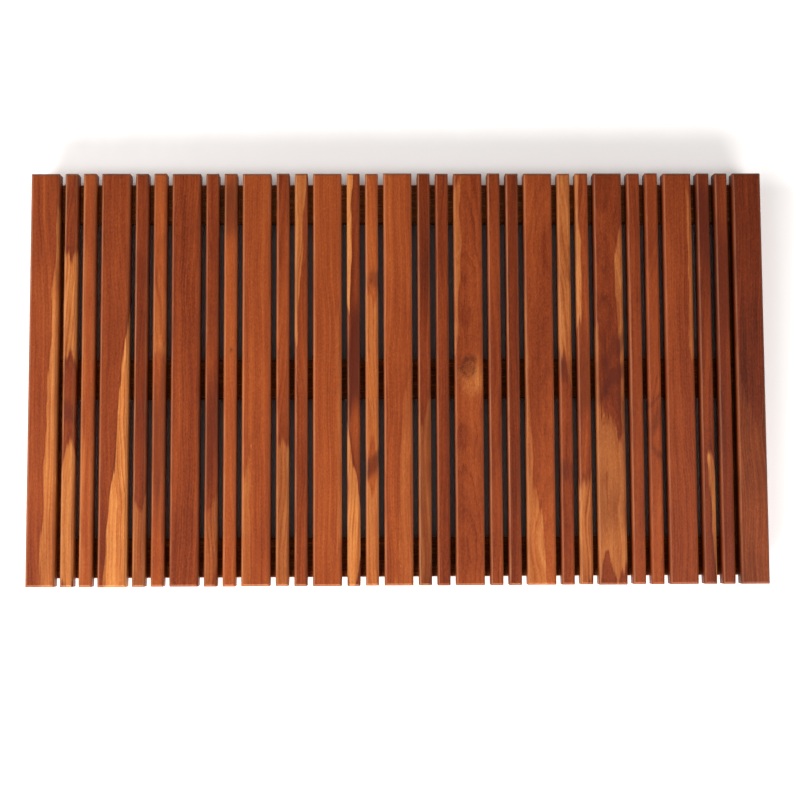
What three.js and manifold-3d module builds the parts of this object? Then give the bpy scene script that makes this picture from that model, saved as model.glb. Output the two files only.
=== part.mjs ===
// A rigid slatted teak bath mat, in millimetres, +Z up.
//
// Thirty-one slats lie side by side on a low frame of three long rails and four short end
// pieces. The frame stands on nine rubber feet, each held by one pan head screw.
//
// X runs across the slats, which is the mat's long way. Y runs along them, and the front of
// the mat is -Y. The origin is the middle of the footprint, on the floor.
import * as THREE from "three";
import { mergeVertices } from "three/addons/utils/BufferGeometryUtils.js";
import Module from "manifold-3d";

const wasm = await Module();
wasm.setup();

// ---- Driving dimensions ----

// Overall
const MAT_LENGTH = 800; // across the slats
const MAT_WIDTH = 450; // along the slats

// Slats: a wide one, then two narrow ones, ten times, and a wide one to close the row
const GROUPS = 10;
const NARROWS_PER_GROUP = 2;
const WIDE_SLAT_WIDTH = 31;
const NARROW_SLAT_WIDTH = 14;
const SLAT_THICKNESS = 18;
const SLAT_ARRIS = 2.4; // chamfer round a slat's top and bottom
const SLAT_CORNER = 0.8; // chamfer on the four upright edges of a slat's ends

// Frame under the slats
const RAIL_WIDTH = 42;
const RAIL_THICKNESS = 16;
const RAIL_ARRIS = 0.8;
const RAIL_END_INSET = 3; // from the outer face of the outer slats to the rails' ends
const SLAT_OVERHANG = 9; // of the slats' ends past the front and rear rails
const END_PIECE_WIDTH = 42;

// Rubber feet, each a tapered disc with a recess for its screw
const FOOT_HEIGHT = 4;
const FOOT_TOP_RADIUS = 10;
const FOOT_BASE_RADIUS = 9;
const FOOT_EDGE = 0.6; // chamfer round the base
const FOOT_WEB = 1.4; // rubber left between the screw's head and the rail
const FOOT_END_DISTANCE = 26; // from the ends of a rail to the middle of its outer feet

// Pan head screws that hold the feet
const SCREW_HEAD_RADIUS = 3.5;
const SCREW_HEAD_HEIGHT = 1.6;
const SCREW_SHANK_RADIUS = 1.75;
const SCREW_LENGTH = 12; // under the head
const SCREW_TIP = 3; // length of the pointed end

// Clearances
const SHANK_CLEARANCE = 0.3; // round a screw's shank, in rubber and in wood
const HEAD_CLEARANCE = 1.0; // round a screw's head, for the driver
const TIP_CLEARANCE = 0.5; // past a screw's tip

const FOOT_SIDES = 20;
const SCREW_SIDES = 12;

// ---- Sizes that follow ----

const SLATS_PER_GROUP = 1 + NARROWS_PER_GROUP;
const SLAT_COUNT = GROUPS * SLATS_PER_GROUP + 1;
const WIDE_COUNT = GROUPS + 1;
const NARROW_COUNT = GROUPS * NARROWS_PER_GROUP;
const WOOD_ACROSS = WIDE_COUNT * WIDE_SLAT_WIDTH + NARROW_COUNT * NARROW_SLAT_WIDTH;
const SLAT_GAP = (MAT_LENGTH - WOOD_ACROSS) / (SLAT_COUNT - 1);

const RAIL_BOTTOM = FOOT_HEIGHT;
const RAIL_TOP = RAIL_BOTTOM + RAIL_THICKNESS;
const RAIL_LENGTH = MAT_LENGTH - 2 * RAIL_END_INSET;
const OUTER_RAIL_Y = MAT_WIDTH / 2 - SLAT_OVERHANG - RAIL_WIDTH / 2;
const END_PIECE_LENGTH = OUTER_RAIL_Y - RAIL_WIDTH;
const END_PIECE_X = RAIL_LENGTH / 2 - END_PIECE_WIDTH / 2;
const END_PIECE_Y = OUTER_RAIL_Y / 2;

const HEAD_SEAT = FOOT_HEIGHT - FOOT_WEB; // height of the face that a screw's head bears on
const OUTER_FOOT_X = RAIL_LENGTH / 2 - FOOT_END_DISTANCE;
const HOLE_RADIUS = SCREW_SHANK_RADIUS + SHANK_CLEARANCE;
const HOLE_TOP = HEAD_SEAT + SCREW_LENGTH + TIP_CLEARANCE;

// ---- Materials ----

function wood(color) {
  return new THREE.MeshStandardMaterial({ color, roughness: 0.45, metalness: 0 });
}

function rubber() {
  return new THREE.MeshStandardMaterial({ color: 0x1c1b1a, roughness: 0.85, metalness: 0 });
}

function steel() {
  return new THREE.MeshStandardMaterial({ color: 0xb5b4b0, roughness: 0.35, metalness: 1 });
}

// ---- Geometry ----

// A bar along +Y, with its middle at the origin: chamfered by arris round its top and bottom,
// and by corner on the four upright edges of its ends.
function bar(width, length, thickness, arris, corner) {
  const x = width / 2;
  const y = length / 2;
  const z = thickness / 2;
  const points = [];
  for (const sx of [-1, 1]) {
    for (const sy of [-1, 1]) {
      for (const sz of [-1, 1]) {
        points.push([sx * (x - arris), sy * (y - arris), sz * z]);
        points.push([sx * x, sy * (y - corner), sz * (z - arris)]);
        points.push([sx * (x - corner), sy * y, sz * (z - arris)]);
      }
    }
  }
  return wasm.Manifold.hull(points);
}

// A solid of revolution about Z, from [radius, height] points going round the section.
function turned(points, sides) {
  const profile = points.map(([radius, height]) => new THREE.Vector2(radius, height));
  const geometry = new THREE.LatheGeometry(profile, sides);
  geometry.rotateX(Math.PI / 2);
  return geometry;
}

function toManifold(geometry) {
  const bare = geometry.clone();
  bare.deleteAttribute("normal");
  bare.deleteAttribute("uv");
  const merged = mergeVertices(bare);
  return new wasm.Manifold(
    new wasm.Mesh({
      numProp: 3,
      vertProperties: new Float32Array(merged.attributes.position.array),
      triVerts: new Uint32Array(merged.index.array),
    }),
  );
}

function fromManifold(solid) {
  const mesh = solid.getMesh();
  const geometry = new THREE.BufferGeometry();
  geometry.setAttribute("position", new THREE.BufferAttribute(mesh.vertProperties, 3));
  geometry.setIndex(new THREE.BufferAttribute(mesh.triVerts, 1));
  const flat = geometry.toNonIndexed(); // so that every facet keeps its own normals
  flat.computeVertexNormals();
  return flat;
}

// A blind hole for a foot's screw, as the cylinder to cut away, in the mat's own frame.
function screwHole(x, y) {
  const start = RAIL_BOTTOM - 1; // below the face that it opens in
  const depth = HOLE_TOP - start;
  const cylinder = new THREE.CylinderGeometry(HOLE_RADIUS, HOLE_RADIUS, depth, SCREW_SIDES);
  cylinder.rotateX(Math.PI / 2);
  cylinder.translate(x, y, start + depth / 2);
  return toManifold(cylinder);
}

// ---- Pieces ----

const mat = new THREE.Group();

function add(name, geometry, material, x, y, z) {
  const mesh = new THREE.Mesh(geometry, material);
  mesh.name = name;
  mesh.position.set(x, y, z);
  mat.add(mesh);
}

function addSlats() {
  let left = -MAT_LENGTH / 2;
  let wides = 0;
  let narrows = 0;
  for (let i = 0; i < SLAT_COUNT; i += 1) {
    const isWide = i % SLATS_PER_GROUP === 0;
    const width = isWide ? WIDE_SLAT_WIDTH : NARROW_SLAT_WIDTH;
    if (isWide) wides += 1;
    else narrows += 1;
    const name = isWide ? `wide_slat_${wides}` : `narrow_slat_${narrows}`;
    const solid = bar(width, MAT_WIDTH, SLAT_THICKNESS, SLAT_ARRIS, SLAT_CORNER);
    const geometry = fromManifold(solid);
    add(name, geometry, wood(0x93502a), left + width / 2, 0, RAIL_TOP + SLAT_THICKNESS / 2);
    left += width + SLAT_GAP;
  }
}

const FOOT_COLUMNS = [
  { side: "left", x: -OUTER_FOOT_X },
  { side: "middle", x: 0 },
  { side: "right", x: OUTER_FOOT_X },
];

const RAIL_ROWS = [
  { row: "rear", y: OUTER_RAIL_Y },
  { row: "middle", y: 0 },
  { row: "front", y: -OUTER_RAIL_Y },
];

function addRail(row, y) {
  let solid = bar(RAIL_WIDTH, RAIL_LENGTH, RAIL_THICKNESS, RAIL_ARRIS, RAIL_ARRIS);
  solid = solid.rotate([0, 0, 90]).translate([0, y, RAIL_BOTTOM + RAIL_THICKNESS / 2]);
  for (const { x } of FOOT_COLUMNS) {
    solid = solid.subtract(screwHole(x, y));
  }
  add(`${row}_rail`, fromManifold(solid), wood(0x6a4326), 0, 0, 0);
}

function addEndPieces() {
  for (const [side, x] of [["left", -END_PIECE_X], ["right", END_PIECE_X]]) {
    for (const [row, y] of [["rear", END_PIECE_Y], ["front", -END_PIECE_Y]]) {
      const solid = bar(END_PIECE_WIDTH, END_PIECE_LENGTH, RAIL_THICKNESS, RAIL_ARRIS, RAIL_ARRIS);
      const z = RAIL_BOTTOM + RAIL_THICKNESS / 2;
      add(`${side}_${row}_end_piece`, fromManifold(solid), wood(0x744a2a), x, y, z);
    }
  }
}

function footGeometry() {
  const recess = SCREW_HEAD_RADIUS + HEAD_CLEARANCE;
  return turned(
    [
      [HOLE_RADIUS, HEAD_SEAT],
      [recess, HEAD_SEAT],
      [recess, 0],
      [FOOT_BASE_RADIUS - FOOT_EDGE, 0],
      [FOOT_BASE_RADIUS, FOOT_EDGE],
      [FOOT_TOP_RADIUS, FOOT_HEIGHT],
      [HOLE_RADIUS, FOOT_HEIGHT],
      [HOLE_RADIUS, HEAD_SEAT],
    ],
    FOOT_SIDES,
  );
}

// A screw that points up. Its head's bearing face is at height 0.
function screwGeometry() {
  return turned(
    [
      [0, -SCREW_HEAD_HEIGHT],
      [SCREW_HEAD_RADIUS * 0.7, -SCREW_HEAD_HEIGHT],
      [SCREW_HEAD_RADIUS, -SCREW_HEAD_HEIGHT * 0.55],
      [SCREW_HEAD_RADIUS, 0],
      [SCREW_SHANK_RADIUS, 0],
      [SCREW_SHANK_RADIUS, SCREW_LENGTH - SCREW_TIP],
      [0, SCREW_LENGTH],
    ],
    SCREW_SIDES,
  );
}

function addFoot(row, side, x, y) {
  add(`foot_${row}_${side}`, footGeometry(), rubber(), x, y, 0);
  add(`foot_screw_${row}_${side}`, screwGeometry(), steel(), x, y, HEAD_SEAT);
}

addSlats();
addEndPieces();
for (const { row, y } of RAIL_ROWS) {
  addRail(row, y);
  for (const { side, x } of FOOT_COLUMNS) {
    addFoot(row, side, x, y);
  }
}

export default mat;
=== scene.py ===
"""A rigid slatted teak bath mat on a pale floor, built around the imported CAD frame.

Metres, in the frame's own axes: X across the slats, Y along them (front is -Y), +Z up.
Every slat has its own figure: a growth ring field, golden sapwood zones, dusky heart patches
and knots. These are written to the meshes as attributes, and one teak material reads them.
"""

import math

import bmesh
import bpy
import numpy as np
from mathutils import Matrix, Vector


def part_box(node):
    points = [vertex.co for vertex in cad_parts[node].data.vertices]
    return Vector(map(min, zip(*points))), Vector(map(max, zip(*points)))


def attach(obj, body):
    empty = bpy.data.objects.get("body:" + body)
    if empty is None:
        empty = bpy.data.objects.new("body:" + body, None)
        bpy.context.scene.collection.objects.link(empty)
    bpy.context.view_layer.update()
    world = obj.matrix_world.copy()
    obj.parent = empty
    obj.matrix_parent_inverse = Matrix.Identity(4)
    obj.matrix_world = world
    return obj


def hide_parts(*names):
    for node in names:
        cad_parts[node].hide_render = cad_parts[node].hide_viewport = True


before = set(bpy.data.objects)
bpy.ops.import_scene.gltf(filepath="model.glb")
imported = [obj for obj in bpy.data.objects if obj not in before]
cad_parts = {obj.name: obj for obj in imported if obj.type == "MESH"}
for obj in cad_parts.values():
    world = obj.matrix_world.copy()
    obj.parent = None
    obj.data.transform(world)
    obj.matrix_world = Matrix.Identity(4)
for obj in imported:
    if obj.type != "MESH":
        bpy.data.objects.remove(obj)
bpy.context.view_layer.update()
BODY = "root"
MM = 0.001

# ---------------------------------------------------------------- sizes

SLAT_ARRIS = 2.5 * MM  # chamfer round a slat's top and bottom
RAIL_ARRIS = 1.0 * MM  # the same on rails and end pieces
CORNER = 0.8 * MM  # rounding of the upright edges at a board's ends
BEVEL = 1.2  # shape of an arris: 1 is a flat chamfer, 2 a round
SUPPORT = 0.3 * MM  # a mesh line beside each arris, which keeps the flat faces flat
SAW_SLACK = 0.5  # how much shorter than the CAD a slat can be sawn at an end, in mm
GRAIN_CELL = 4.5 * MM  # mesh cells along the grain
CROSS_CELL = 2.6 * MM  # mesh cells across a slat's grain
FRAME_CROSS_CELL = 3.4 * MM  # mesh cells across the grain of rails and end pieces
HEIGHT_CELL = 4 * MM
ARRIS_STEPS = 4  # mesh steps in an arris

SCREW_CLEAR_OF_FOOT = 14.6 * MM  # least distance of a slat screw from a foot's middle
SCREW_HEAD = 3.9 * MM  # radius of a slat screw's countersunk head
SCREW_SINK = 0.5 * MM  # how deep the head sits in its countersink
SCREW_CONE = 2.6 * MM  # height of the head's cone
SCREW_SHANK = 1.9 * MM  # radius
SCREW_STUB = 1.2 * MM  # length of the shank that is made, in the wood above the cone
SCREW_CROSS = (2.1 * MM, 0.9 * MM, 1.7 * MM)  # width, wing and depth of the cross recess

FOOT_WEB = 1.4 * MM  # rubber between the foot screw's head and the rail
FOOT_RECESS = 4.5 * MM  # radius of the well for the screw's head
FOOT_HOLE = 2.05 * MM
FOOT_DRAFT = 1 * MM  # how much narrower the foot is at the floor
FOOT_BASE_ROUND = 0.8 * MM
FOOT_TOP_ROUND = 0.4 * MM
GRIP_RINGS = 3  # grooves moulded in the foot's base
PAN_SHANK = 1.75 * MM
PAN_THREAD = 8.5 * MM  # where the foot screw's point begins
PAN_LENGTH = 12 * MM
PAN_CROSS = (1.9 * MM, 0.8 * MM, 0.9 * MM)

SEED = 41
RAIL_SEED, END_PIECE_SEED = SEED + 100, SEED + 200


# ---------------------------------------------------------------- figure of each slat
# tone     0 dark red-brown to 1 light orange
# pith     where the rings' centre lies: mm to the side, mm below, mm of drift per 100 mm
# golden   zones of sapwood: side of the edge (+1 right, -1 left), edge in mm from the middle,
#          its lean in mm per 100 mm, then the stretch along the slat it lies in, in mm, and for
#          some the place across of the flame's tip at each end and how steep its sides are
# glow     how strong the golden zones are
# dusky    dark heart patches: place along the slat, half length (both mm), amount
# knots    place across, place along, radius, all in mm
# flames   pointed tongues of heartwood in a golden zone: place across and along of the tip, the
#          way it widens (+1 to the rear, -1 to the front), half width in mm 40 mm from the tip

ALL = (-1, 40, 0)  # a zone edge past the slat, so that the zone fills its width


def figure(tone, pith=(90, 60, 2), golden=(), glow=0.6, dusky=(), knots=(), flames=()):
    return {
        "tone": tone,
        "pith": pith,
        "golden": golden,
        "glow": glow,
        "dusky": dusky,
        "knots": knots,
        "flames": flames,
    }


FIGURES = [
    figure(0.47, (-70, 45, 3), [(1, 7, 3.5, -240, 240)], 0.70),
    figure(
        0.35,
        (40, 30, 6),
        [(*ALL, 30, 126, 1, 2.5), (*ALL, -240, -62, 2, -4)],
        0.80,
        [(-38, 17, 0.5), (200, 22, 0.3)],
    ),
    figure(0.61, (-110, 20, 2), [(-1, -3, 0, -240, 240)], 0.25, [(150, 60, 0.1)]),
    figure(0.37, (60, 55, -2), [(1, 9, 8.5, -240, 150)], 1.00, [(70, 50, 0.15)]),
    figure(
        0.36,
        (60, 25, 3),
        [(*ALL, -240, -150)],
        0.45,
        [(116, 30, 0.3), (52, 8, 0.1), (-40, 60, 0.3)],
    ),
    figure(0.53, (-30, 35, 4), [(*ALL, 40, 110)], 0.25, [(-62, 100, 0.5), (142, 16, 0.3)]),
    figure(0.37, (120, 40, 1), (), 0.3, [(176, 26, 0.2)]),
    figure(
        0.33, (-45, 30, 3), [(*ALL, -240, -150)], 0.2, [(58, 40, 0.3), (-50, 80, 0.55)]
    ),
    figure(0.57, (55, 24, -4), (), 0.3, [(190, 50, 0.6), (30, 7, 0.2)], [(1, 30, 1.4)]),
    figure(0.50, (200, 10, 0.5), [(-1, -6, 0, -240, -60)], 0.3, [(190, 50, 0.2)]),
    figure(0.41, (26, 30, 5), [(*ALL, -240, -60)], 0.5, [(-54, 12, 0.2), (-130, 14, 0.15)]),
    figure(0.36, (-60, 26, 2), [(-1, -6, 5, 10, 260)], 0.60),
    figure(0.57, (-150, 60, 1), [(1, 9, 0, -240, 40)], 0.2),
    figure(
        0.36,
        (34, 22, 5),
        [(-1, -4, 1.5, 70, 240), (-1, -14, -15, -240, -45)],
        1.35,
        [(10, 72, 0.9), (-100, 50, 0.35)],
    ),
    figure(
        0.56,
        (-30, 26, 4),
        [(*ALL, -240, -126, 0, 3), (*ALL, -70, 80, 1, 2)],
        0.36,
        [(-95, 15, 0.65), (106, 13, 0.4)],
        [(-1, 106, 1.5)],
    ),
    figure(0.51, (170, 30, 1), [(1, 6, 4, -240, -40)], 0.16),
    figure(0.24, (60, 30, 1), [(*ALL, -240, -60)], 0.24),
    figure(0.32, (-80, 20, 2)),
    figure(0.41, (-5, 26, 2), [(-1, -11, 1.5, 60, 240)], 0.45, [(-66, 20, 0.2)], [(0, 10, 8)]),
    figure(0.31, (-50, 28, 5)),
    figure(0.26, (80, 40, 1), (), 0.3, [(85, 8, 0.2)]),
    figure(0.45, (12, 40, 2), [(-1, -12, -2.5, -240, 240), (-1, -7, -5, -240, -140)], 0.42),
    figure(
        0.33,
        (-26, 22, 4),
        [(*ALL, 30, 240, -2, 5)],
        0.50,
        [(8, 20, 0.55), (-104, 17, 0.5), (108, 6, 0.2)],
    ),
    figure(0.39, (40, 24, 4), [(*ALL, -240, -125), (-1, -2, 0, 60, 220)], 0.62, [(0, 70, 0.45)]),
    figure(
        0.31,
        (-6, 30, 3),
        [(*ALL, -240, -38, -6, -1.7), (-1, -12, -1, -40, 90), (1, 10, -2, -40, 120)],
        0.48,
        [(24, 19, 0.6), (-6, 16, 0.7)],
        [(2, 8, 1.2)],
        [(-6, -186, -1, 7)],
    ),
    figure(0.37, (110, 30, 1), (), 0.3, [(-10, 60, 0.22)]),
    figure(0.43, (20, 20, 8), (), 0.3, [(-26, 5, 0.5), (-50, 16, 0.45), (-82, 6, 0.5)]),
    figure(0.36, (-140, 40, 2), [(1, 10, 0, 60, 240)], 0.3),
    figure(
        0.26, (44, 30, 4), [(1, -5.5, -4.9, -240, -80)], 0.8, [(170, 60, 0.55), (-98, 8, 0.25)]
    ),
    figure(0.24, (-70, 26, 2), (), 0.3, [(110, 80, 0.45), (-190, 60, 0.2)]),
    figure(0.20, (130, 50, 1), [(*ALL, -240, -60)], 0.08),
]


# ---------------------------------------------------------------- fields in the wood

RIGHT_HIGHLIGHT_SHARE = 0.34  # painted shade: the right arrises, away from the left light, get this share of the pale arris colour
HIGHLIGHT_FADE = 0.55  # how much less pale arris colour, wear and painted highlight, the slats at the mat's right end get
SLAT_RINGS = 2.7  # mm from one growth ring to the next
FRAME_RINGS = 3.4
OUTSIDE = 9.0  # distance from a golden zone, in mm, that stands for far away
TAPER = 0.14  # how fast a golden zone narrows at its two ends, mm per mm
PIN_KNOT = 3.0  # a knot up to this radius, in mm, has no pale wood beside it
NO_KNOT = 50.0  # distance from a knot, in its radii, where there is none


def smooth(value, low, high):
    """0 at low to 1 at high, with soft ends."""
    t = np.clip((value - low) / (high - low), 0, 1)
    return t * t * (3 - 2 * t)


def waves(at, rng, length, height):
    """A smooth wandering line: four sines with random phases, from length down."""
    total = np.zeros_like(at)
    for k in range(1, 5):
        phase, share = rng.uniform(0, 2 * math.pi), rng.uniform(0.6, 1.4)
        total += height / k**1.3 * np.sin(2 * math.pi * at * k / (length * share) + phase)
    return total


def golden_field(x, y, fig, rng):
    """Signed distance in mm into the golden zones, which end in flames along the fibres."""
    golden = np.full_like(x, -OUTSIDE)
    for side, edge, lean, start, end, *flame in fig["golden"]:
        inside = side * (x - edge - lean * y / 100 - waves(y, rng, 130, 0.8))
        for sign, limit in ((1, start), (-1, end)):
            tip, steep = rng.uniform(-5, 5), rng.uniform(2.0, 4.5) * rng.choice([-1, 1])
            if flame:
                tip, steep = flame
            reach = steep * np.abs(x - tip) + waves(x, rng, 11, 2.5)
            inside = np.minimum(inside, TAPER * (sign * (y - limit) + reach))
        golden = np.maximum(golden, inside)
    for tip_x, tip_y, way, spread in fig["flames"]:
        run = way * (y - tip_y)
        aside = np.abs(x - tip_x - waves(y, rng, 60, 0.6))
        tongue = spread * np.sqrt(np.maximum(run, 0) / 40) - aside
        golden = np.minimum(golden, np.where(run > 0, -tongue, OUTSIDE))
    return golden


def wood_fields(points, half_length, fig, rng, ring_width):
    """Per point, from its place in the board (x across, y along, z up, in metres): the ring
    count, the golden zone's signed distance in mm, the dusky share, the way from the nearest
    knot in that knot's radii, the pale wood beside a knot, and the end grain's share."""
    x, y, z = (points[:, k] / MM for k in range(3))
    pith_x, pith_depth, drift = fig["pith"]
    across = x - pith_x - waves(y, rng, 420, 2.2)
    depth = z + pith_depth + drift * y / 100 + waves(y, rng, 260, 1.6)
    ring = np.hypot(across, depth) / ring_width
    knot_x, knot_y = np.full_like(x, NO_KNOT), np.full_like(x, NO_KNOT)
    halo = np.zeros_like(x)
    for kx, ky, radius in fig["knots"]:
        to_x, to_y = (x - kx) / radius, (y - ky) / (radius * 1.2)
        round_it = np.arctan2(to_y, to_x)
        lobes = sum(
            size * np.sin(count * round_it + rng.uniform(0, 2 * math.pi))
            for count, size in ((1, 0.16), (2, 0.14), (3, 0.11), (5, 0.06))
        )
        to_x, to_y = to_x * (1 + lobes), to_y * (1 + lobes)
        if radius > PIN_KNOT:
            aside = np.hypot(to_x - 0.9, to_y + 1.1)
            halo = np.maximum(halo, 1 - smooth(aside, 0.7, 2.9))
        nearer = np.hypot(to_x, to_y) < np.hypot(knot_x, knot_y)
        knot_x, knot_y = np.where(nearer, to_x, knot_x), np.where(nearer, to_y, knot_y)
    dusky = np.zeros_like(x)
    for middle, half, amount in fig["dusky"]:
        lean = rng.uniform(-1.8, 1.8)
        off = (y - middle + lean * x + waves(x, rng, 16, 0.2 * half)) / half
        edge = np.hypot(off, (x - rng.uniform(-4, 4)) / 22)
        dusky = np.maximum(dusky, amount * (1 - smooth(edge, 0.35, 1.2)))
    golden = golden_field(x, y, fig, rng)
    end_grain = smooth(np.abs(points[:, 1]), half_length - 1.0 * MM, half_length - 0.1 * MM)
    return ring, golden, dusky, knot_x, knot_y, halo, end_grain


def write_vector(mesh, name, columns):
    """Writes three columns of values per vertex as a vector attribute."""
    attribute = mesh.attributes.new(name, "FLOAT_VECTOR", "POINT")
    attribute.data.foreach_set("vector", np.stack(columns, 1).astype(np.float32).ravel())


def arris_wear_and_highlight(local, half, arris):
    """How pale a point on an arris is: it lies on the slope of an arris, which sanding and feet
    wear, and takes a painted highlight, which is weaker on the right arrises.
    """
    over = np.clip((np.abs(local) - (half - arris)) / arris, 0, 1)
    # painted shade: the right arrises get less of the pale colour than the left ones, which face
    # the light
    long_side = over[:, 0] * np.where(local[:, 0] > 0, RIGHT_HIGHLIGHT_SHARE, 1.0)
    out = smooth(np.maximum(over[:, 0], over[:, 1]), 0.02, 0.30)
    share = np.where(over[:, 1] > over[:, 0], 1.0, long_side / np.maximum(over[:, 0], 1e-6))
    return smooth(over[:, 2], 0.25, 0.60) * out * share


def write_figure(mesh, fig, rng, across_axis, centre, half, arris, ring_width):
    """Writes the wood's fields on a mesh. across_axis is 0 for a board along Y, 1 along X."""
    co = np.zeros(len(mesh.vertices) * 3)
    mesh.vertices.foreach_get("co", co)
    local = co.reshape(-1, 3) - np.array(centre)
    half = np.array(half)
    if across_axis == 1:
        local, half = local[:, [1, 0, 2]], half[[1, 0, 2]]
    ring, golden, dusky, knot_x, knot_y, halo, end_grain = wood_fields(
        local, half[1], fig, rng, ring_width
    )
    wear_and_highlight = arris_wear_and_highlight(local, half, arris)
    away = rng.uniform(0, 3, 3)
    # painted highlight: the pale arrises weaken towards the mat's right end; the random share per
    # slat is wear
    fade = 1 - HIGHLIGHT_FADE * smooth(centre[0], 0.05, 0.36)
    wear_and_highlight = wear_and_highlight * rng.uniform(0.6, 1.3) * fade
    write_vector(mesh, "board", list((local + away).T))
    write_vector(mesh, "figure", [ring, golden, dusky])
    write_vector(mesh, "knot", [knot_x, knot_y, np.zeros_like(knot_x)])
    write_vector(mesh, "trim", [wear_and_highlight, end_grain, halo])
    tone, glow = np.full(len(local), fig["tone"]), np.full(len(local), fig["glow"])
    write_vector(mesh, "cast", [tone, glow, np.zeros_like(tone)])


# ---------------------------------------------------------------- meshes


def marks(low, high, arris, cell):
    """Places of mesh lines from low to high: dense in the two arrises, even between them."""
    arc = np.tan(np.linspace(0, math.pi / 4, ARRIS_STEPS + 1)) * arris
    inner_low, inner_high = low + arris + SUPPORT, high - arris - SUPPORT
    count = max(1, round((inner_high - inner_low) / cell))
    middle = np.linspace(inner_low, inner_high, count + 1)
    return np.concatenate([(low + arris - arc)[::-1], middle, high - arris + arc])


def eased(points, low, high, arris):
    """Points on a box's surface moved onto its arrises and its rounded upright edges."""
    middle, half = (low + high) / 2, (high - low) / 2
    local = points - middle
    side = np.sign(local)
    core = half - arris
    over = np.clip((np.abs(local) - core) / arris, 0, 1)
    flat = np.maximum(over[:, 0], over[:, 1])
    norm = (flat**BEVEL + over[:, 2] ** BEVEL) ** (1 / BEVEL)
    moved = side * (np.minimum(np.abs(local), core) + over / np.maximum(norm, 1)[:, None] * arris)
    turn = np.clip((np.abs(local[:, :2]) - half[:2] + CORNER) / CORNER, 0, 1)
    reach = np.maximum(np.hypot(turn[:, 0], turn[:, 1]), 1)[:, None]
    moved[:, :2] -= side[:, :2] * turn * (1 - 1 / reach) * CORNER
    return middle + moved


def eased_bar(name, low, high, arris, cells):
    """A box from low to high with a fine grid on every face and its edges eased."""
    low, high = np.array(low, float), np.array(high, float)
    lines = [marks(low[k], high[k], arris, cells[k]) for k in range(3)]
    counts = [len(line) for line in lines]
    index, points, faces = {}, [], []

    def vertex(i, j, k):
        # the point where the i-th, j-th and k-th lines meet, made once
        key = (i, j, k)
        if key not in index:
            index[key] = len(points)
            points.append((lines[0][i], lines[1][j], lines[2][k]))
        return index[key]

    for axis in range(3):
        u, v = (axis + 1) % 3, (axis + 2) % 3
        for end in (0, counts[axis] - 1):
            for a in range(counts[u] - 1):
                for b in range(counts[v] - 1):
                    quad = []
                    for da, db in ((0, 0), (1, 0), (1, 1), (0, 1)):
                        line = [0, 0, 0]
                        line[axis], line[u], line[v] = end, a + da, b + db
                        quad.append(vertex(*line))
                    faces.append(quad if end else quad[::-1])
    mesh = bpy.data.meshes.new(name)
    mesh.from_pydata(eased(np.array(points), low, high, arris).tolist(), [], faces)
    mesh.update()
    return mesh


def place(name, mesh, material, slot, *nodes):
    """Puts a finished mesh in the scene as a piece that stands for CAD nodes."""
    mesh.materials.clear()
    mesh.materials.append(material)
    piece = bpy.data.objects.new(name, mesh)
    bpy.context.scene.collection.objects.link(piece)
    mesh.shade_smooth()
    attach(piece, BODY)
    if nodes:
        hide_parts(*nodes)


def spun(name, profile, steps):
    """A solid of revolution about Z from (radius, height) points that start and end on the axis
    or close on themselves."""
    ring_of, points, faces = [], [], []
    for radius, height in profile:
        if radius == 0:
            ring_of.append([len(points)] * steps)
            points.append((0, 0, height))
        else:
            ring_of.append(list(range(len(points), len(points) + steps)))
            turn = [2 * math.pi * s / steps for s in range(steps)]
            points.extend((radius * math.cos(t), radius * math.sin(t), height) for t in turn)
    closed = profile[0][0] > 0
    following = ring_of[1:] + ring_of[:1] if closed else ring_of[1:]
    for lower, upper in zip(ring_of, following):
        for s in range(steps):
            t = (s + 1) % steps
            corner = [lower[s], lower[t], upper[t], upper[s]]
            face = [c for k, c in enumerate(corner) if c != corner[k - 1]]
            if len(set(face)) > 2:
                faces.append(face)
    mesh = bpy.data.meshes.new(name)
    mesh.from_pydata(points, [], faces)
    mesh.update()
    return mesh


def cut(mesh, cutter):
    """The mesh less the cutter, as a new mesh."""
    whole = bpy.data.objects.new("whole", mesh)
    tool = bpy.data.objects.new("tool", cutter)
    for o in (whole, tool):
        bpy.context.scene.collection.objects.link(o)
    boolean = whole.modifiers.new("cut", "BOOLEAN")
    boolean.operation = "DIFFERENCE"
    boolean.solver = "EXACT"
    boolean.object = tool
    bpy.context.view_layer.update()
    graph = bpy.context.evaluated_depsgraph_get()
    done = bpy.data.meshes.new_from_object(whole.evaluated_get(graph))
    done.name = mesh.name
    bpy.data.objects.remove(whole)
    bpy.data.objects.remove(tool)
    return done


def joined(name, meshes_at):
    """One mesh from (mesh, matrix) pairs."""
    bm = bmesh.new()
    for mesh, matrix in meshes_at:
        start = len(bm.verts)
        bm.from_mesh(mesh)
        bm.verts.ensure_lookup_table()
        for v in bm.verts[start:]:
            v.co = matrix @ v.co
    done = bpy.data.meshes.new(name)
    bm.to_mesh(done)
    bm.free()
    return done


# ---------------------------------------------------------------- material helpers


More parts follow.
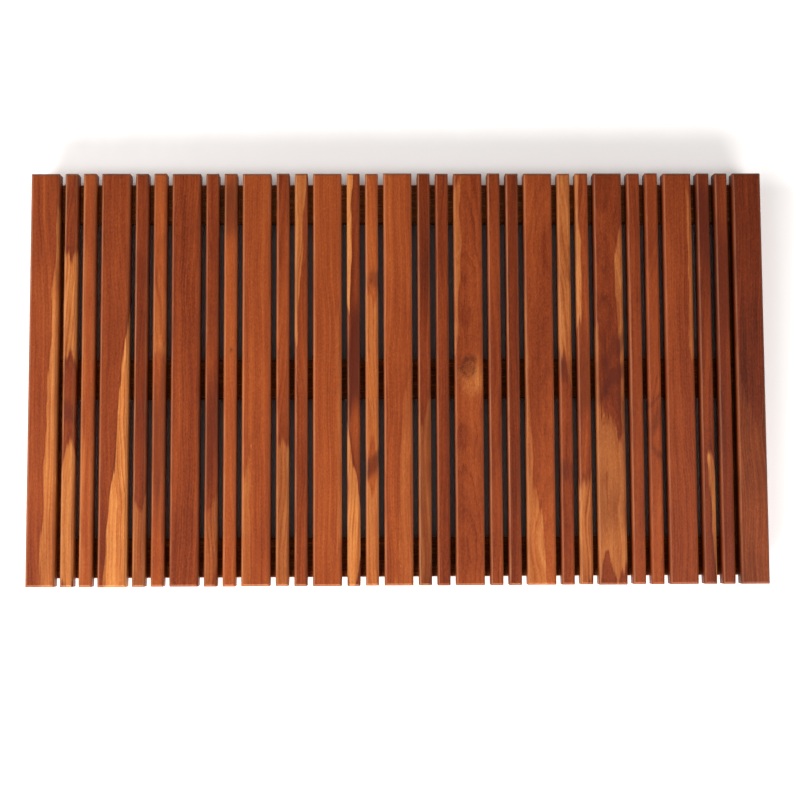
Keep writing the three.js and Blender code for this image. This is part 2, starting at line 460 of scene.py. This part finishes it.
class Nodes:
    """A short way to write a material's nodes."""

    def __init__(self, name):
        self.material = bpy.data.materials.new(name)
        self.material.use_nodes = True
        self.tree = self.material.node_tree
        self.tree.nodes.clear()
        self.shader = self.make("ShaderNodeBsdfPrincipled")
        output = self.make("ShaderNodeOutputMaterial")
        self.tree.links.new(self.shader.outputs[0], output.inputs[0])

    def make(self, kind, **settings):
        node = self.tree.nodes.new(kind)
        for key, value in settings.items():
            setattr(node, key, value)
        return node

    def feed(self, socket, value):
        if isinstance(value, bpy.types.NodeSocket):
            self.tree.links.new(value, socket)
        else:
            socket.default_value = value

    def attribute(self, name):
        return self.make("ShaderNodeAttribute", attribute_name=name).outputs["Vector"]

    def split(self, vector):
        node = self.make("ShaderNodeSeparateXYZ")
        self.feed(node.inputs[0], vector)
        return node.outputs

    def math(self, operation, a, b=0.0, clamp=False):
        node = self.make("ShaderNodeMath", operation=operation, use_clamp=clamp)
        self.feed(node.inputs[0], a)
        self.feed(node.inputs[1], b)
        return node.outputs[0]

    def scaled(self, vector, scale):
        node = self.make("ShaderNodeVectorMath", operation="MULTIPLY")
        self.feed(node.inputs[0], vector)
        self.feed(node.inputs[1], scale)
        return node.outputs[0]

    def turned(self, vector, degrees):
        node = self.make("ShaderNodeVectorRotate", rotation_type="Z_AXIS")
        self.feed(node.inputs["Vector"], vector)
        self.feed(node.inputs["Angle"], math.radians(degrees))
        return node.outputs[0]

    def join(self, *parts):
        node = self.make("ShaderNodeCombineXYZ")
        for socket, part in zip(node.inputs, parts):
            self.feed(socket, part)
        return node.outputs[0]

    def length(self, vector):
        node = self.make("ShaderNodeVectorMath", operation="LENGTH")
        self.feed(node.inputs[0], vector)
        return node.outputs["Value"]

    def swing(self, value, amount):
        """A noise of 0 to 1 as a swing about 0."""
        return self.math("MULTIPLY", self.math("SUBTRACT", value, 0.5), amount)

    def bell(self, value, middle, width):
        """1 at middle, falling to 0 at width to either side."""
        off = self.math("ABSOLUTE", self.math("SUBTRACT", value, middle))
        return self.remap(off, width, 0.0)

    def noise(self, vector, scale, detail=3.0, roughness=0.55, distortion=0.0):
        node = self.make("ShaderNodeTexNoise")
        self.feed(node.inputs["Vector"], vector)
        self.feed(node.inputs["Scale"], scale)
        self.feed(node.inputs["Detail"], detail)
        self.feed(node.inputs["Roughness"], roughness)
        self.feed(node.inputs["Distortion"], distortion)
        return node.outputs["Fac"]

    def remap(self, value, low, high, to_low=0.0, to_high=1.0):
        node = self.make("ShaderNodeMapRange", interpolation_type="SMOOTHSTEP")
        for key, v in (("Value", value), ("From Min", low), ("From Max", high)):
            self.feed(node.inputs[key], v)
        self.feed(node.inputs["To Min"], to_low)
        self.feed(node.inputs["To Max"], to_high)
        return node.outputs["Result"]

    def ramp(self, value, stops):
        node = self.make("ShaderNodeValToRGB")
        self.feed(node.inputs[0], value)
        elements = node.color_ramp.elements
        while len(elements) < len(stops):
            elements.new(0.5)
        for element, (position, colour) in zip(elements, stops):
            element.position = position
            element.color = (*colour, 1)
        return node.outputs[0]

    def mix(self, factor, a, b, blend="MIX"):
        node = self.make("ShaderNodeMix", data_type="RGBA", blend_type=blend)
        self.feed(node.inputs[0], factor)
        self.feed(node.inputs[6], a if isinstance(a, bpy.types.NodeSocket) else (*a, 1))
        self.feed(node.inputs[7], b if isinstance(b, bpy.types.NodeSocket) else (*b, 1))
        return node.outputs[2]

    def bump(self, height, strength, distance):
        node = self.make("ShaderNodeBump")
        self.feed(node.inputs["Height"], height)
        self.feed(node.inputs["Strength"], strength)
        self.feed(node.inputs["Distance"], distance)
        self.tree.links.new(node.outputs[0], self.shader.inputs["Normal"])


HEARTWOOD = [
    (0.00, (0.048, 0.0070, 0.0016)),
    (0.25, (0.114, 0.0170, 0.0034)),
    (0.50, (0.199, 0.0370, 0.0075)),
    (0.75, (0.284, 0.0655, 0.0130)),
    (1.00, (0.364, 0.1050, 0.0220)),
]
SAPWOOD = [
    (0.15, (0.275, 0.0670, 0.0135)),
    (0.45, (0.372, 0.1180, 0.0265)),
    (0.75, (0.448, 0.1830, 0.0540)),
    (1.00, (0.505, 0.2520, 0.0940)),
]
FRAME_WOOD = [
    (0.00, (0.072, 0.0160, 0.0048)),
    (0.30, (0.160, 0.0400, 0.0115)),
    (0.60, (0.300, 0.0850, 0.0240)),
    (1.00, (0.480, 0.1600, 0.0500)),
]
# pale colour of the arrises: dry sanded wood, and a painted highlight
DRY_AND_LIT_TEAK = (0.330, 0.1450, 0.0640)
DUSK = (0.050, 0.0066, 0.0030)
KNOT = (0.036, 0.0055, 0.0022)
# factors on the wood's colour
PORE_TINT = (0.40, 0.32, 0.28)
FLECK_TINT = (1.45, 1.55, 1.60)
TORN_TINT = (1.9, 2.1, 2.3)
END_TINT = (0.42, 0.34, 0.30)

WEAR_AND_HIGHLIGHT = 0.60  # how pale the arrises are: sanding wear, and a painted highlight
PORES = 0.36  # how strong the pores are, and so on
FLECKS = 0.45
TORN_FIBRES = 0.9
END_GRAIN = 0.4
HALO = 0.62  # how golden the wood beside a knot is
BORDER = 0.42  # how dark the line along a golden zone is
LATEWOOD = 0.11  # how dark the line that ends a growth ring is


def teak(name, stops, sawn):
    """Oiled teak that reads the boards' fields, with stops as its heartwood's colours. sawn is 0
    for planed and sanded, 1 for rough."""
    n = Nodes(name)
    board = n.attribute("board")
    ring, zone, dusky = n.split(n.attribute("figure"))
    tone, glow, _ = n.split(n.attribute("cast"))
    wear_and_highlight, end_grain, halo = n.split(n.attribute("trim"))
    wobble = n.noise(board, 420, 3, 0.6)
    far = n.length(n.attribute("knot"))  # from the nearest knot, in its radii
    far = n.math("ADD", far, n.swing(wobble, 1.1))

    # streaks of colour that follow the growth rings, then the fibres
    place_y = n.split(board)[1]
    by_ring = n.join(ring, n.math("MULTIPLY", place_y, 5.0), n.math("MULTIPLY", tone, 40.0))
    bands = n.noise(by_ring, 0.75, 3, 0.62, 0.25)
    along = n.scaled(board, (1, 0.022, 1))
    broad = n.noise(along, 170, 3, 0.55, 0.3)
    fibre = n.noise(n.scaled(board, (1, 0.04, 1)), 640, 4, 0.6)
    fine = n.noise(n.scaled(board, (1, 0.08, 1)), 2600, 3, 0.6)
    drift = n.noise(n.scaled(board, (1, 0.35, 1)), 16, 3, 0.55)
    # short marks a little aslant to the fibres: vessels and rays
    marks = n.noise(n.scaled(n.turned(board, 9), (1, 0.48, 1)), 820, 3, 0.6)
    marks_b = n.noise(n.scaled(n.turned(board, -13), (1, 0.60, 1)), 600, 3, 0.6)

    # growth rings: a thin dark line of latewood, and a softer fall before it;
    # near a knot they turn about it
    pull = n.remap(far, 3.2, 0.9)
    about = n.math("MULTIPLY", far, 2.2)
    straight = n.math("MULTIPLY", ring, n.math("SUBTRACT", 1.0, pull))
    turn = n.math("ADD", straight, n.math("MULTIPLY", about, pull))
    turn = n.math("FRACT", n.math("ADD", turn, n.swing(fibre, 0.9)))
    late = n.math("MULTIPLY", n.remap(turn, 0.45, 0.93), n.remap(turn, 1.0, 0.93))
    vary = n.remap(n.noise(along, 140, 2, 0.5), 0.35, 0.65, 0.10, 1.0)
    late = n.math("MULTIPLY", late, n.math("MAXIMUM", vary, n.math("MULTIPLY", pull, 0.6)))

    # heartwood
    shade = n.math("ADD", tone, n.swing(bands, 0.46))
    for streak, amount in (
        (broad, 0.34),
        (fibre, 0.13),
        (marks, 0.34),
        (marks_b, 0.30),
        (drift, 0.52),
    ):
        shade = n.math("ADD", shade, n.swing(streak, amount))
    shade = n.math("SUBTRACT", shade, n.math("MULTIPLY", late, LATEWOOD))
    heart = n.ramp(shade, stops)

    # golden sapwood: its edge is a thin line that follows the fibres, its glow comes and goes
    streaks = n.math("ADD", n.swing(broad, 6.5), n.swing(fibre, 3.0))
    zone = n.math("ADD", zone, streaks)
    patchy = n.remap(n.math("ADD", n.swing(bands, 0.9), drift), 0.22, 0.72, 0.45, 1.15)
    gold = n.math("MULTIPLY", n.remap(zone, -0.5, 0.8), glow)
    gold = n.math("MULTIPLY", gold, patchy, clamp=True)
    halo = n.math("MULTIPLY", halo, n.remap(bands, 0.36, 0.60))
    gold = n.math("MAXIMUM", gold, n.math("MULTIPLY", halo, HALO))
    sap_shade = n.math("ADD", n.swing(bands, 0.75), n.swing(fibre, 0.5))
    sap_shade = n.math("ADD", sap_shade, n.swing(marks, 0.5))
    sap_shade = n.math("ADD", n.math("ADD", sap_shade, 0.5), n.math("MULTIPLY", late, -0.30))
    sap = n.ramp(sap_shade, SAPWOOD)
    colour = n.mix(gold, heart, sap)
    border = n.math("MULTIPLY", n.bell(zone, -0.9, 0.8), n.math("MULTIPLY", glow, BORDER))
    colour = n.mix(border, colour, DUSK)

    # dusky heart patches that end along the fibres, and knots with a dark rim
    murk = n.math("ADD", dusky, n.math("ADD", n.swing(bands, 0.8), n.swing(fibre, 0.5)))
    murk = n.math("MULTIPLY", n.remap(murk, 0.05, 0.90), n.remap(dusky, 0.0, 0.20, 0.0, 0.85))
    colour = n.mix(murk, colour, DUSK)
    patch = n.remap(n.noise(board, 120, 2, 0.5), 0.36, 0.60, 0.30, 1.0)
    core = n.math("MULTIPLY", n.remap(far, 1.2, 0.3), 0.42)
    rim = n.math("MULTIPLY", n.bell(far, 0.88, 0.62), n.math("MULTIPLY", patch, 0.64))
    colour = n.mix(n.math("MAXIMUM", core, rim), colour, KNOT)

    # pores: short dark dashes along the grain, and pale ray flecks
    dashes = n.noise(n.scaled(board, (1, 0.06, 1)), 1400, 2, 0.5)
    pore = n.remap(dashes, 0.60, 0.72)
    colour = n.mix(n.math("MULTIPLY", pore, PORES), colour, PORE_TINT, "MULTIPLY")
    flecks = n.noise(n.scaled(n.turned(board, 16), (1, 0.24, 1)), 900, 2, 0.5)
    fleck = n.math("MULTIPLY", n.remap(flecks, 0.56, 0.74), FLECKS)
    colour = n.mix(fleck, colour, FLECK_TINT, "MULTIPLY")

    if sawn:  # torn fibres that catch the light
        torn = n.noise(n.scaled(board, (1, 0.12, 1)), 620, 3, 0.6)
        torn = n.math("MULTIPLY", n.remap(torn, 0.48, 0.66), TORN_FIBRES)
        colour = n.mix(torn, colour, TORN_TINT, "MULTIPLY")

    # sanded arrises hold less oil and are pale, and carry a painted highlight; end grain drinks
    # more and is dark
    dry_and_lit = n.math("MULTIPLY", wear_and_highlight, n.remap(fibre, 0.30, 0.62, 0.25, 1.0))
    colour = n.mix(n.math("MULTIPLY", dry_and_lit, WEAR_AND_HIGHLIGHT), colour, DRY_AND_LIT_TEAK)
    colour = n.mix(n.math("MULTIPLY", end_grain, END_GRAIN), colour, END_TINT, "MULTIPLY")
    n.feed(n.shader.inputs["Base Color"], colour)

    dull = n.remap(fibre, 0.25, 0.75, 0.36 + 0.28 * sawn, 0.48 + 0.30 * sawn)
    dull = n.math("ADD", dull, n.math("MULTIPLY", pore, 0.15))
    dull = n.math("ADD", dull, n.math("MULTIPLY", end_grain, 0.18), clamp=True)
    n.feed(n.shader.inputs["Roughness"], dull)
    height = n.math("ADD", fine, n.math("MULTIPLY", fibre, 0.8))
    height = n.math("SUBTRACT", height, n.math("MULTIPLY", pore, 1.1))
    if sawn:
        saw_marks = n.noise(n.scaled(board, (0.06, 1, 0.06)), 900, 2, 0.5)
        height = n.math("ADD", height, n.math("MULTIPLY", saw_marks, 1.6))
    n.bump(height, 0.20 + 0.25 * sawn, 0.22 * MM)
    n.shader.inputs["Specular IOR Level"].default_value = 0.12
    return n.material


def rubber_material():
    n = Nodes("foot_rubber")
    place_in = n.make("ShaderNodeTexCoord").outputs["Object"]
    grain = n.noise(place_in, 2400, 4, 0.6)
    cloud = n.noise(place_in, 180, 3, 0.6)
    colour = n.ramp(cloud, [(0.3, (0.010, 0.010, 0.010)), (0.7, (0.026, 0.025, 0.024))])
    n.feed(n.shader.inputs["Base Color"], colour)
    n.feed(n.shader.inputs["Roughness"], n.remap(cloud, 0.3, 0.7, 0.62, 0.86))
    n.bump(grain, 0.25, 0.15 * MM)
    n.shader.inputs["Specular IOR Level"].default_value = 0.35
    return n.material


def steel_material():
    n = Nodes("screw_steel")
    place_in = n.make("ShaderNodeTexCoord").outputs["Object"]
    turned_lines = n.noise(n.scaled(place_in, (1, 1, 6)), 1500, 3, 0.6)
    cloud = n.noise(place_in, 300, 3, 0.6)
    colour = n.ramp(cloud, [(0.3, (0.44, 0.43, 0.41)), (0.7, (0.60, 0.59, 0.57))])
    n.feed(n.shader.inputs["Base Color"], colour)
    n.feed(n.shader.inputs["Roughness"], n.remap(turned_lines, 0.3, 0.7, 0.26, 0.42))
    n.bump(turned_lines, 0.1, 0.05 * MM)
    n.shader.inputs["Metallic"].default_value = 1.0
    return n.material


SLAT_TEAK = teak("slat_teak", HEARTWOOD, 0)
FRAME_TEAK = teak("frame_teak", FRAME_WOOD, 1)
RUBBER = rubber_material()
STEEL = steel_material()


# ---------------------------------------------------------------- slats


def by_place(prefixes):
    """CAD nodes whose names start so, from left to right."""
    names = [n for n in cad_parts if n.startswith(prefixes)]
    return sorted(names, key=lambda n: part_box(n)[0].x)


SLATS = by_place(("wide_slat", "narrow_slat"))


def middle_and_half(low, high):
    """A box's middle and half its size."""
    return [(a + b) / 2 for a, b in zip(low, high)], [(b - a) / 2 for a, b in zip(low, high)]


def build_slats():
    for number, node in enumerate(SLATS):
        low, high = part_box(node)
        rng = np.random.default_rng(SEED + number)
        trim = rng.uniform(0, SAW_SLACK, 2) * MM
        low = (low.x, low.y + trim[0], low.z)
        high = (high.x, high.y - trim[1], high.z)
        mesh = eased_bar(node, low, high, SLAT_ARRIS, (CROSS_CELL, GRAIN_CELL, HEIGHT_CELL))
        centre, half = middle_and_half(low, high)
        write_figure(mesh, FIGURES[number], rng, 0, centre, half, SLAT_ARRIS, SLAT_RINGS)
        place(f"teak_{node}", mesh, SLAT_TEAK, "slat_teak", node)


# ---------------------------------------------------------------- frame

FEET = sorted(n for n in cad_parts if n.startswith("foot_") and "screw" not in n)
RAILS = ["rear_rail", "middle_rail", "front_rail"]
# painted light: the rear rail's paler tone makes up for the light it lacks under the slats' far
# ends; the other two are the wood's own tones
RAIL_TONES_AND_PAINTED_LIGHT = [0.85, 0.45, 0.38]
END_PIECES = by_place(("left_", "right_"))


def screw_spots(rail):
    """Where the slats' screws go up through a rail: under each slat, on the rail's middle, or
    beside it where a foot is in the way."""
    low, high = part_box(rail)
    feet = [middle_and_half(*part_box(foot))[0] for foot in FEET]
    spots = []
    for node in SLATS:
        a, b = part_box(node)
        x, y = (a.x + b.x) / 2, (low.y + high.y) / 2
        if min(math.hypot(x - foot[0], y - foot[1]) for foot in feet) < SCREW_CLEAR_OF_FOOT:
            y += SCREW_CLEAR_OF_FOOT * (1 if y <= 0 else -1)
        spots.append((x, y, low.z))
    return spots


def countersink():
    """The tool that cuts the hole for a slat screw, its mouth at height 0."""
    sink, reach = SCREW_SINK, SCREW_CONE + 1.5 * MM
    return spun(
        "countersink",
        [
            (0, -1 * MM),
            (SCREW_HEAD + 0.25 * MM, -1 * MM),
            (SCREW_HEAD + 0.25 * MM, sink),
            (SCREW_SHANK + 0.2 * MM, sink + SCREW_CONE),
            (SCREW_SHANK + 0.2 * MM, reach),
            (0, reach),
        ],
        24,
    )


def cross_cut(mesh, width, wing, depth):
    """The mesh less a cross recess: two crossed wings that narrow on their way up to depth.
    The wings are cut one after the other, because a cut by a tool that crosses itself fails."""
    for turn in (0, math.pi / 2):
        bm = bmesh.new()
        spin = Matrix.Rotation(turn, 4, "Z")
        for v in bmesh.ops.create_cube(bm, size=1)["verts"]:
            taper = 0.45 if v.co.z > 0 else 1.0
            flat = Vector((v.co.x * width * 2 * taper, v.co.y * wing * taper, 0))
            v.co = spin @ flat + Vector((0, 0, depth if v.co.z > 0 else -1 * MM))
        tool = bpy.data.meshes.new("wing")
        bm.to_mesh(tool)
        bm.free()
        mesh = cut(mesh, tool)
    return mesh


def slat_screw():
    """A countersunk screw pointing up, its head's face at height 0."""
    body = spun(
        "slat_screw",
        [
            (0, 0),
            (SCREW_HEAD - 0.15 * MM, 0),
            (SCREW_HEAD, 0.12 * MM),
            (SCREW_HEAD, 0.3 * MM),
            (SCREW_SHANK, SCREW_CONE),
            (SCREW_SHANK, SCREW_CONE + SCREW_STUB),
            (0, SCREW_CONE + SCREW_STUB),
        ],
        32,
    )
    return cross_cut(body, *SCREW_CROSS)


def build_rails():
    hole, screw = countersink(), slat_screw()
    for number, node in enumerate(RAILS):
        low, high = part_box(node)
        rng = np.random.default_rng(RAIL_SEED + number)
        mesh = eased_bar(node, low, high, RAIL_ARRIS, (GRAIN_CELL, FRAME_CROSS_CELL, HEIGHT_CELL))
        spots = [Matrix.Translation(s) for s in screw_spots(node)]
        mesh = cut(mesh, joined("holes", [(hole, spot) for spot in spots]))
        centre, half = middle_and_half(low, high)
        fig = figure(
            RAIL_TONES_AND_PAINTED_LIGHT[number],
            (rng.uniform(-60, 60), rng.uniform(15, 50), rng.uniform(-1.5, 1.5)),
            [(1, 12, 0.6, -420, 420)],
            0.25,
            [(rng.uniform(-300, 300), 60, 0.25)],
            [(rng.uniform(-12, 12), rng.uniform(-350, 350), 4)],
        )
        write_figure(mesh, fig, rng, 1, centre, half, RAIL_ARRIS, FRAME_RINGS)
        place(f"teak_{node}", mesh, FRAME_TEAK, "frame_teak", node)
        lift = Matrix.Translation((0, 0, SCREW_SINK))
        turned = [
            spot @ lift @ Matrix.Rotation(rng.uniform(0, math.pi), 4, "Z") for spot in spots
        ]
        screws = joined(f"slat_screws_{node}", [(screw, m) for m in turned])
        place(f"slat_screws_{node}", screws, STEEL, "screw_steel")


def build_end_pieces():
    for number, node in enumerate(END_PIECES):
        low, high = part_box(node)
        rng = np.random.default_rng(END_PIECE_SEED + number)
        mesh = eased_bar(node, low, high, RAIL_ARRIS, (FRAME_CROSS_CELL, GRAIN_CELL, HEIGHT_CELL))
        centre, half = middle_and_half(low, high)
        fig = figure(0.5, (rng.uniform(-60, 60), rng.uniform(15, 50), 2), [(1, 8, 1, -90, 90)], 0.3)
        write_figure(mesh, fig, rng, 0, centre, half, RAIL_ARRIS, FRAME_RINGS)
        place(f"teak_{node}", mesh, FRAME_TEAK, "frame_teak", node)


# ---------------------------------------------------------------- feet


def arc(centre, radius, start, end, steps):
    """Points of an arc in (radius, height), angles in degrees."""
    for k in range(steps + 1):
        a = math.radians(start + (end - start) * k / steps)
        yield centre[0] + radius * math.cos(a), centre[1] + radius * math.sin(a)


def rubber_foot(name, top, tall, seat):
    """A foot standing at height 0: top is its radius under the rail, seat the web's height."""
    base = top - FOOT_DRAFT
    lip = 0.5 * MM
    chamfer = 0.3 * MM
    profile = [(FOOT_HOLE, tall), (FOOT_HOLE, seat)]
    profile += [(FOOT_RECESS - chamfer, seat), (FOOT_RECESS, seat - chamfer)]
    profile += list(arc((FOOT_RECESS + lip, lip), lip, 180, 270, 4))
    for k in range(GRIP_RINGS):
        at = FOOT_RECESS + (1.1 + k * 1.0) * MM
        groove = ((0, 0), (0.15, 0.3), (0.4, 0.3), (0.55, 0))
        profile += [(at + out * MM, up * MM) for out, up in groove]
    middle = (base - FOOT_BASE_ROUND, FOOT_BASE_ROUND)
    profile += list(arc(middle, FOOT_BASE_ROUND, 270, 355, 5))
    middle = (top - FOOT_TOP_ROUND, tall - FOOT_TOP_ROUND)
    profile += list(arc(middle, FOOT_TOP_ROUND, 0, 90, 4))
    return spun(name, profile[::-1], 64)


def pan_screw(name, head, crown):
    """A pan head screw pointing up, its head's bearing face at height 0."""
    profile = [(0, -crown)]
    profile += [
        (head * math.sin(t), -crown + crown * 0.75 * (1 - math.cos(t)) ** 1.2)
        for t in np.linspace(0.25, math.pi / 2, 7)
    ]
    profile += [(head, 0), (PAN_SHANK, 0), (PAN_SHANK, PAN_THREAD), (0, PAN_LENGTH)]
    width, wing, depth = PAN_CROSS
    return cross_cut(spun(name, profile, 40), width, wing, depth - crown)


def build_feet():
    for node in FEET:
        low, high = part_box(node)
        middle = Vector(((low.x + high.x) / 2, (low.y + high.y) / 2, low.z))
        top, tall = (high.x - low.x) / 2, high.z - low.z
        seat = tall - FOOT_WEB
        mesh = rubber_foot(node, top, tall, seat)
        mesh.transform(Matrix.Translation(middle))
        place(f"rubber_{node}", mesh, RUBBER, "foot_rubber", node)

        screw_node = node.replace("foot_", "foot_screw_", 1)
        a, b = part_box(screw_node)
        bearing = low.z + seat
        pan = pan_screw(screw_node, (b.x - a.x) / 2, bearing - a.z)
        pan.transform(Matrix.Translation((middle.x, middle.y, bearing)))
        place(f"steel_{screw_node}", pan, STEEL, "screw_steel", screw_node)


# ---------------------------------------------------------------- stage


FLOOR_REACH = 12.0
FLOOR_TONES = [(0.3, (0.87, 0.840, 0.825)), (0.7, (0.90, 0.870, 0.855))]
# place, width and height, watts; each points at the mat's middle
SOFTBOXES = {
    "key_softbox": ((-1.1, -1.8, 1.0), (1.6, 0.8), 81),
    "fill_softbox": ((1.2, -1.7, 1.0), (1.3, 0.8), 44),
    "left_softbox": ((-2.2, 0.2, 1.5), (1.3, 1.0), 48),
    "right_softbox": ((2.2, 0.2, 1.5), (1.3, 1.0), 9),
    "high_left_softbox": ((-1.1, -0.5, 2.1), (1.0, 1.0), 8),
    "high_right_softbox": ((1.1, -0.5, 2.1), (1.0, 1.0), 16),
}
AMBIENT = 0.20
CAMERA_AT = (-0.021, -0.138, 1.508)
CAMERA_TURN = (4.4, -0.87, -0.26)  # degrees
LENS, SENSOR = 61.25, 36  # mm


def build_floor():
    mesh = bpy.data.meshes.new("floor")
    reach = FLOOR_REACH
    corners = [(-reach, -reach, 0), (reach, -reach, 0), (reach, reach, 0), (-reach, reach, 0)]
    mesh.from_pydata(corners, [], [(0, 1, 2, 3)])
    floor = bpy.data.objects.new("floor", mesh)
    bpy.context.scene.collection.objects.link(floor)
    n = Nodes("floor")
    place_in = n.make("ShaderNodeTexCoord").outputs["Object"]
    cloud = n.noise(place_in, 3, 2, 0.5)
    n.feed(n.shader.inputs["Base Color"], n.ramp(cloud, FLOOR_TONES))
    n.shader.inputs["Roughness"].default_value = 0.85
    n.shader.inputs["Specular IOR Level"].default_value = 0.2
    mesh.materials.append(n.material)


def build_lights():
    for name, (at, size, power) in SOFTBOXES.items():
        light = bpy.data.lights.new(name, "AREA")
        light.shape = "RECTANGLE"
        light.size, light.size_y = size
        light.energy = power
        lamp = bpy.data.objects.new(name, light)
        lamp.location = at
        lamp.rotation_euler = (-Vector(at)).to_track_quat("-Z", "Y").to_euler()
        bpy.context.scene.collection.objects.link(lamp)
    world = bpy.data.worlds.new("studio")
    world.use_nodes = True
    background = world.node_tree.nodes["Background"]
    background.inputs[0].default_value = (1, 1, 1, 1)
    background.inputs[1].default_value = AMBIENT
    bpy.context.scene.world = world


def build_camera():
    data = bpy.data.cameras.new("camera")
    data.sensor_width = SENSOR
    data.lens = LENS
    camera = bpy.data.objects.new("camera", data)
    camera.location = CAMERA_AT
    camera.rotation_euler = [math.radians(a) for a in CAMERA_TURN]
    bpy.context.scene.collection.objects.link(camera)
    bpy.context.scene.camera = camera
    bpy.context.scene.view_settings.view_transform = "Standard"


build_slats()
build_rails()
build_end_pieces()
build_feet()
build_floor()
build_lights()
build_camera()
